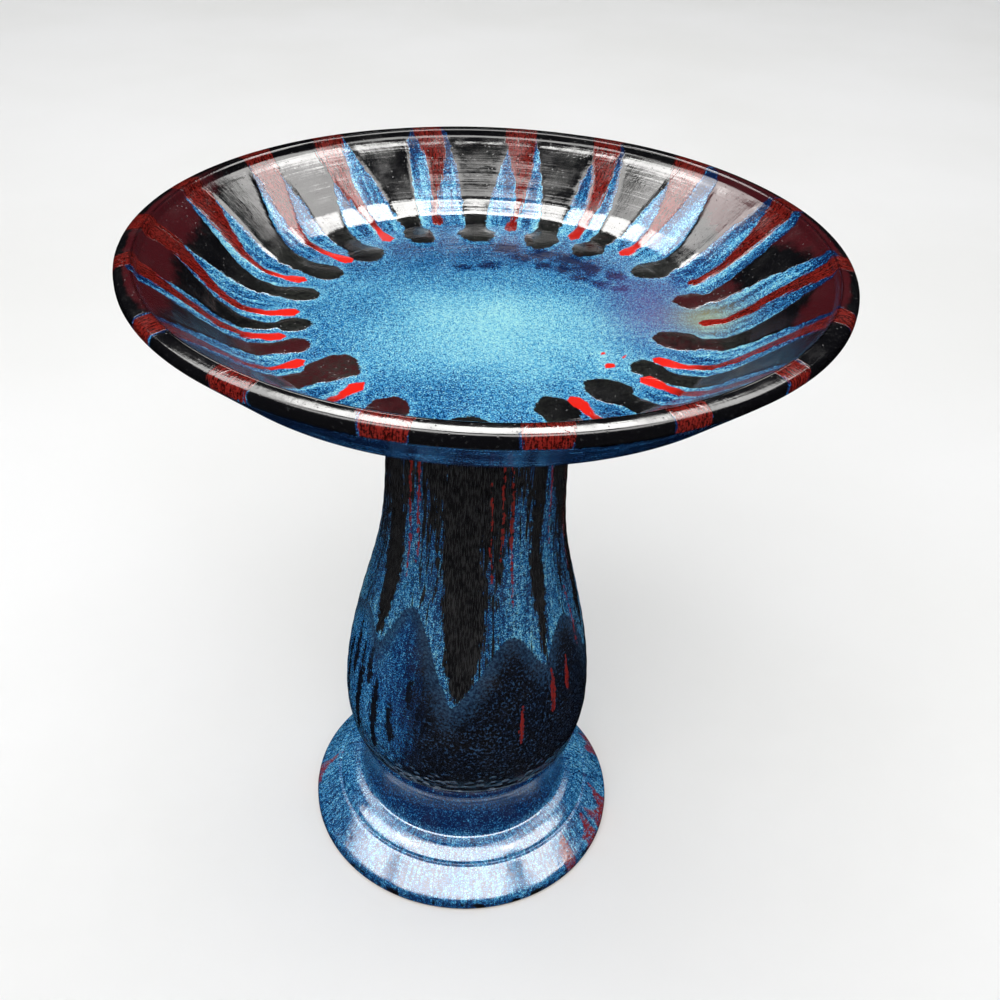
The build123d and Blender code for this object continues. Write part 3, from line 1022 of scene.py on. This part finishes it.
def pedestal_material(glazes):
    recipe = Recipe("pedestal_drip_glaze")
    flow = recipe.field("flow", "Vector")
    height = recipe.field("height")
    fibre = recipe.noise(700, 3.0, flow, 0.6)
    streaks = recipe.noise(330, 3.0, flow, 0.6)
    threads = recipe.noise(1400, 2.0, flow, 0.6)
    wobble = recipe.noise(170, 3.0)
    cloud = recipe.noise(24, 3.0)
    above = recipe.field("above_edge")
    shown = recipe.field("blue_shown")

    light_upper = recipe.sum("ADD", recipe.scaled(streaks, 1.5, -0.62), recipe.scaled(shown, 0.16))
    lit = recipe.step(above, 16.0, 1.0, 0.0, 0.1)
    blue = speckled_blue(recipe, glazes, recipe.sum("ADD", light_upper, lit))
    seam = recipe.sum("ADD", recipe.scaled(streaks, 2.6, -1.3), recipe.scaled(fibre, 1.2, -0.6))
    dark_share = recipe.sum("SUBTRACT", recipe.sum("ADD", seam, 0.53), shown)
    flecks = recipe.step(recipe.noise(430, 2.0, rough=0.6), 0.56, 0.66, 0.0, 0.75)
    veined = recipe.sum("MAXIMUM", recipe.step(dark_share, -0.12, 0.1), flecks)
    black_edge = recipe.sum("ADD", recipe.field("black_run"), recipe.scaled(fibre, 12.0, -6.3))
    black_edge = recipe.sum("ADD", black_edge, recipe.scaled(wobble, 8.0, -4.0))
    black = recipe.sum("MAXIMUM", recipe.step(black_edge, -0.5, 0.5), veined)
    sheen = recipe.step(
        recipe.sum("ADD", recipe.scaled(threads, 1.0), recipe.scaled(wobble, 0.3)), 0.56, 0.8, 0.0, 0.8
    )
    dark = recipe.mix(sheen, glazes.black, tuple(0.026 + channel for channel in glazes.black))
    upper = recipe.mix(black, recipe.mix(0.2, blue, glazes.haze), dark)

    belly_light = recipe.sum(
        "ADD", recipe.scaled(recipe.field("blue_belly"), 0.4, -0.2), recipe.scaled(cloud, 0.4, -0.2)
    )
    belly_light = recipe.sum("ADD", belly_light, recipe.scaled(streaks, 0.5, -0.25))
    mottled = speckled_blue(recipe, glazes, belly_light)
    grain = recipe.noise(520, 2.0, rough=0.65)
    slate = recipe.mix(recipe.step(grain, 0.4, 0.68), glazes.black, glazes.slate)
    slate = recipe.mix(recipe.step(grain, 0.58, 0.72, 0.0, 0.8), slate, glazes.haze)
    blueness = recipe.step(
        recipe.sum("ADD", recipe.field("blue_belly"), recipe.scaled(streaks, 1.0, -0.5)), 0.1, 0.8
    )
    lower = recipe.mix(blueness, slate, mottled)
    dash_edge = recipe.sum("ADD", recipe.field("dark_dash"), recipe.scaled(fibre, 7.0, -2.9))
    dash_edge = recipe.sum("ADD", dash_edge, recipe.scaled(recipe.noise(300, 3.0), 8.0, -4.0))
    dash_colour = recipe.mix(recipe.scaled(sheen, 0.6), glazes.black, glazes.slate)
    lower = recipe.mix(recipe.step(dash_edge, -0.9, 1.1), lower, dash_colour)
    haze = recipe.step(recipe.sum("ADD", above, recipe.scaled(wobble, 5, -2.5)), -20.0, -1.0, 0.0, 0.85)
    haze_colour = recipe.mix(recipe.step(grain, 0.35, 0.65), glazes.slate, glazes.haze)
    lower = recipe.mix(haze, lower, haze_colour)
    pebbles = recipe.step(recipe.cells(150), 0.2, 0.6)
    low_dark = recipe.step(height, 150.0, 112.0, 0.0, 0.7)
    lower = recipe.mix(recipe.sum("MULTIPLY", low_dark, pebbles), lower, glazes.black)

    edge = recipe.sum("ADD", above, recipe.scaled(wobble, 4, -2))
    edge = recipe.sum("ADD", edge, recipe.scaled(grain, 4, -2))
    body = recipe.mix(recipe.step(edge, -0.8, 0.8), lower, upper)

    red_edge = recipe.sum("ADD", recipe.field("red_run"), recipe.scaled(fibre, 4.4, -2.3))
    red_edge = recipe.sum("ADD", red_edge, recipe.scaled(recipe.noise(320, 3.0), 5.0, -2.6))
    red = recipe.sum("MULTIPLY", recipe.step(red_edge, -0.3, 0.3), recipe.step(threads, 0.38, 0.52, 0.2, 1.0))
    body = recipe.mix(red, body, glazes.red)

    collar_light = recipe.sum(
        "ADD", recipe.scaled(cloud, 0.5, -0.2), recipe.scaled(recipe.noise(90, 3.0), 0.4, -0.2)
    )
    collar = speckled_blue(recipe, glazes, recipe.scaled(collar_light, 0.8, -0.12))
    body = recipe.mix(
        recipe.step(recipe.sum("ADD", height, recipe.scaled(wobble, 4, -2)), 98.0, 94.0), body, collar
    )
    foot_light = recipe.sum("ADD", recipe.scaled(fibre, 1.4, -0.44), recipe.scaled(cloud, 0.5, -0.25))
    foot_light = recipe.sum("ADD", foot_light, recipe.step(height, 12.0, 6.0, 0.0, -0.2))
    foot = speckled_blue(recipe, glazes, foot_light)
    body = recipe.mix(
        recipe.step(recipe.sum("ADD", height, recipe.scaled(fibre, 14, -7)), 50.0, 40.0), body, foot
    )
    dabs = recipe.sum(
        "MULTIPLY", recipe.step(height, 11.0, 7.0), recipe.step(recipe.noise(75, 2.0), 0.54, 0.6)
    )
    body = recipe.mix(dabs, body, glazes.black)
    foot_red = recipe.sum("ADD", recipe.field("foot_red"), recipe.scaled(fibre, 9, -4.5))
    foot_red = recipe.sum("ADD", foot_red, recipe.scaled(wobble, 8, -4))
    foot_patch = recipe.sum(
        "MULTIPLY", recipe.step(foot_red, -0.6, 1.6), recipe.step(grain, 0.38, 0.54, 0.25, 0.95)
    )
    body = recipe.mix(foot_patch, body, glazes.red)

    bare = recipe.step(recipe.sum("ADD", recipe.field("bare_clay"), recipe.scaled(wobble, 2, -1)), -0.3, 0.3)
    body = recipe.mix(bare, body, bare_clay(recipe, glazes))

    roughness = recipe.step(recipe.noise(60, 3.0), 0.3, 0.7, 0.1, 0.24)
    roughness = recipe.sum("ADD", roughness, recipe.scaled(bare, 0.65))
    peel = recipe.scaled(recipe.noise(170, 2.0), 0.6)
    strands = recipe.scaled(fibre, 0.4)
    relief = recipe.scaled(recipe.step(edge, -1.5, 1.5), 0.35)
    lumps = recipe.sum("MULTIPLY", recipe.step(height, 165.0, 110.0), recipe.scaled(pebbles, 2.4))
    lumps = recipe.sum("MULTIPLY", lumps, recipe.step(height, 97.0, 104.0))
    relief = recipe.sum("ADD", relief, lumps)
    total = recipe.sum("ADD", recipe.sum("ADD", peel, strands), relief)
    normal = recipe.bump(total, 0.4, 0.0006)
    return recipe.finish(body, roughness, normal)


def rubber_material(glazes):
    recipe = Recipe("cushion_rubber")
    bloom = recipe.step(recipe.noise(160, 3.0), 0.35, 0.7)
    shade = recipe.mix(bloom, glazes.rubber, tuple(channel * 2.2 for channel in glazes.rubber))
    roughness = recipe.step(recipe.noise(420, 2.0), 0.3, 0.7, 0.6, 0.8)
    return recipe.finish(shade, roughness, recipe.bump(recipe.noise(900, 2.0), 0.3, 0.0002), ior=1.5)


def floor_material():
    recipe = Recipe("studio_floor")
    patch = recipe.step(recipe.noise(1.5, 3.0), 0.3, 0.7)
    shade = recipe.mix(patch, (0.80, 0.80, 0.79), (0.84, 0.84, 0.84))
    roughness = recipe.step(recipe.noise(40, 2.0), 0.3, 0.7, 0.75, 0.85)
    return recipe.finish(shade, roughness, recipe.bump(recipe.noise(300, 2.0), 0.1, 0.0003))


# ---------------------------------------------------------------- stage


def build_sweep():
    """Studio floor: a flat disc that curves up all round into a low wall, seen from inside."""
    flat, bend, wall = 3.6, 1.4, 3.2
    turn = np.linspace(0, math.pi / 2, 14)
    radius = np.concatenate([[0, 0.5, 1.5], flat + bend * np.sin(turn), [flat + bend]])
    height = np.concatenate([[0, 0, 0], bend * (1 - np.cos(turn)), [wall]])
    angle = np.linspace(0, 2 * math.pi, 96, endpoint=False)
    points = np.stack(
        [radius[1:, None] * np.cos(angle), radius[1:, None] * np.sin(angle), height[1:, None] + 0 * angle],
        -1
    )
    here = np.arange(points[..., 0].size).reshape(points.shape[:2])
    right = np.roll(here, -1, axis=1)
    quads = np.stack([here[:-1], here[1:], right[1:], right[:-1]], -1).reshape(-1, 4) + 1
    fan = np.stack([np.zeros(96, int), here[0] + 1, right[0] + 1], 1)
    mesh = bpy.data.meshes.new("studio_sweep")
    mesh.from_pydata([(0, 0, 0)] + points.reshape(-1, 3).tolist(), [], fan.tolist() + quads.tolist())
    mesh.shade_smooth()
    sweep = bpy.data.objects.new("studio_sweep", mesh)
    bpy.context.scene.collection.objects.link(sweep)
    return sweep


def add_panel_light(name, place, target, width, depth, radiance, lights_diffuse, lights_gloss, only=None):
    """A soft rectangular light that faces its target; either it lights the colours or it is seen in the
    gloss, or both."""
    lamp = bpy.data.lights.new(name, "AREA")
    lamp.shape = "RECTANGLE"
    lamp.size, lamp.size_y = width, depth
    lamp.energy = radiance * math.pi * width * depth
    lamp.color = (1.0, 0.99, 0.97)
    holder = bpy.data.objects.new(name, lamp)
    holder.location = place
    holder.rotation_euler = (Vector(target) - Vector(place)).to_track_quat("-Z", "Y").to_euler()
    holder.visible_diffuse = lights_diffuse
    holder.visible_glossy = lights_gloss
    holder.light_linking.receiver_collection = only
    bpy.context.scene.collection.objects.link(holder)


def add_camera(stage):
    """Camera in front of and above the basin, turned by its yaw, its pitch and last its roll."""
    data = bpy.data.cameras.new("camera")
    data.sensor_width = 36
    data.lens = stage.focal
    data.shift_x, data.shift_y = stage.shift_x, stage.shift_y
    data.clip_start, data.clip_end = 0.02, 50
    yaw, pitch, roll = stage.camera_yaw, stage.camera_pitch, stage.camera_roll
    forward = Vector((math.sin(yaw) * math.cos(pitch), math.cos(yaw) * math.cos(pitch), -math.sin(pitch)))
    level = Vector((math.cos(yaw), -math.sin(yaw), 0))
    up = level.cross(forward)
    right = level * math.cos(roll) + up * math.sin(roll)
    top = up * math.cos(roll) - level * math.sin(roll)
    camera = bpy.data.objects.new("camera", data)
    turned = Matrix((right, top, -forward)).transposed().to_4x4()
    camera.matrix_world = Matrix.Translation((0, -stage.camera_back, stage.camera_height)) @ turned
    bpy.context.scene.collection.objects.link(camera)
    bpy.context.scene.camera = camera


# ---------------------------------------------------------------- operators


def fit_piece(piece, material, body, node):
    piece.data.materials.append(material)
    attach(piece, body)
    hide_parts(node)


class BIRDBATH_OT_basin(bpy.types.Operator):
    """Adds the drip-glazed basin"""

    bl_idname = "bird_bath.basin"
    bl_label = "Basin"

    def execute(self, context):
        settings = context.scene.bird_bath
        fit_piece(
            build_basin(settings.basin), basin_material(settings.glazes), "basin", "basin"
        )
        return {"FINISHED"}


class BIRDBATH_OT_pedestal(bpy.types.Operator):
    """Adds the glazed pedestal"""

    bl_idname = "bird_bath.pedestal"
    bl_label = "Pedestal"

    def execute(self, context):
        settings = context.scene.bird_bath
        piece = build_pedestal(settings.pedestal)
        fit_piece(piece, pedestal_material(settings.glazes), "pedestal", "pedestal")
        return {"FINISHED"}


class BIRDBATH_OT_cushion(bpy.types.Operator):
    """Adds the rubber cushion ring between the basin and the neck"""

    bl_idname = "bird_bath.cushion"
    bl_label = "Cushion ring"

    def execute(self, context):
        glazes = context.scene.bird_bath.glazes
        fit_piece(build_cushion(), rubber_material(glazes), "cushion", "cushion_ring")
        return {"FINISHED"}


class BIRDBATH_OT_stage(bpy.types.Operator):
    """Adds the pale floor, the soft lights and the camera"""

    bl_idname = "bird_bath.stage"
    bl_label = "Stage"

    def execute(self, context):
        stage = context.scene.bird_bath.stage
        sweep = build_sweep()
        sweep.data.materials.append(floor_material())
        sweep.visible_glossy = False
        foot = (0, 0, 0.1)
        add_panel_light("key", (-0.3, -1.2, 2.5), (0, 0, 0.3), 2.4, 2.4, stage.key_light, True, False)
        low_gloss = bpy.data.collections.new("seen_in_pedestal")
        low_gloss.objects.link(bpy.data.objects["pedestal_pot"])
        window = (-0.1, -2.1, 2.15)
        add_panel_light("window", window, foot, 4.4, 2.8, stage.window_glare, False, True, low_gloss)
        for side in (-1, 1):
            wing = (1.3 * side, 0.8, 2.15)
            add_panel_light(
                "side_window", (2.5 * side, -1.0, 1.9), foot, 2.2, 2.2, stage.window_glare, False, True,
                low_gloss
            )
            add_panel_light("wing", wing, (wing[0], wing[1], 0), 1.2, 1.2, stage.wing_glare, False, True)
        add_panel_light(
            "ceiling", (0, -0.42, 2.15), (0, -0.42, 0), 2.4, 0.86, stage.ceiling_glare, False, True
        )
        add_panel_light(
            "skylight", (0, 0.85, 2.15), (0, 0.85, 0), 1.4, 0.7, stage.skylight_glare, False, True
        )
        add_panel_light("backdrop", (0, 1.6, 3.0), (0, 3.2, 0), 5.0, 1.5, stage.backdrop_light, True, False)
        world = bpy.data.worlds.new("room")
        world.use_nodes = True
        background = world.node_tree.nodes["Background"]
        background.inputs["Color"].default_value = (0.95, 0.97, 1.0, 1.0)
        background.inputs["Strength"].default_value = stage.room_light
        world.cycles_visibility.glossy = False
        context.scene.world = world
        context.scene.view_settings.view_transform = "Standard"
        add_camera(stage)
        return {"FINISHED"}


class BirdBathSettings(bpy.types.PropertyGroup):
    """Everything a user may change before building"""

    glazes: PointerProperty(type=BirdBathGlazes)
    basin: PointerProperty(type=BirdBathBasin)
    pedestal: PointerProperty(type=BirdBathPedestal)
    stage: PointerProperty(type=BirdBathStage)


class BIRDBATH_PT_panel(bpy.types.Panel):
    """Lists the steps and their sizes"""

    bl_idname = "BIRDBATH_PT_panel"
    bl_label = "Bird Bath"
    bl_space_type = "VIEW_3D"
    bl_region_type = "UI"
    bl_category = "Bird Bath"

    def draw(self, context):
        settings = context.scene.bird_bath
        for group, operators in PANEL_ROWS:
            box = self.layout.box()
            for operator in operators:
                box.operator(operator.bl_idname)
            values = getattr(settings, group)
            for name in values.__annotations__:
                box.prop(values, name)


PANEL_ROWS = [
    ("glazes", [BIRDBATH_OT_cushion]),
    ("basin", [BIRDBATH_OT_basin]),
    ("pedestal", [BIRDBATH_OT_pedestal]),
    ("stage", [BIRDBATH_OT_stage]),
]

CLASSES = [
    BirdBathGlazes,
    BirdBathBasin,
    BirdBathPedestal,
    BirdBathStage,
    BirdBathSettings,
    BIRDBATH_OT_basin,
    BIRDBATH_OT_pedestal,
    BIRDBATH_OT_cushion,
    BIRDBATH_OT_stage,
    BIRDBATH_PT_panel,
]


def register():
    for item in CLASSES:
        bpy.utils.register_class(item)
    bpy.types.Scene.bird_bath = PointerProperty(type=BirdBathSettings)


def unregister():
    del bpy.types.Scene.bird_bath
    for item in reversed(CLASSES):
        bpy.utils.unregister_class(item)


def main():
    register()
    bpy.ops.bird_bath.pedestal()
    bpy.ops.bird_bath.cushion()
    bpy.ops.bird_bath.basin()
    bpy.ops.bird_bath.stage()


if __name__ == "__main__":
    main()
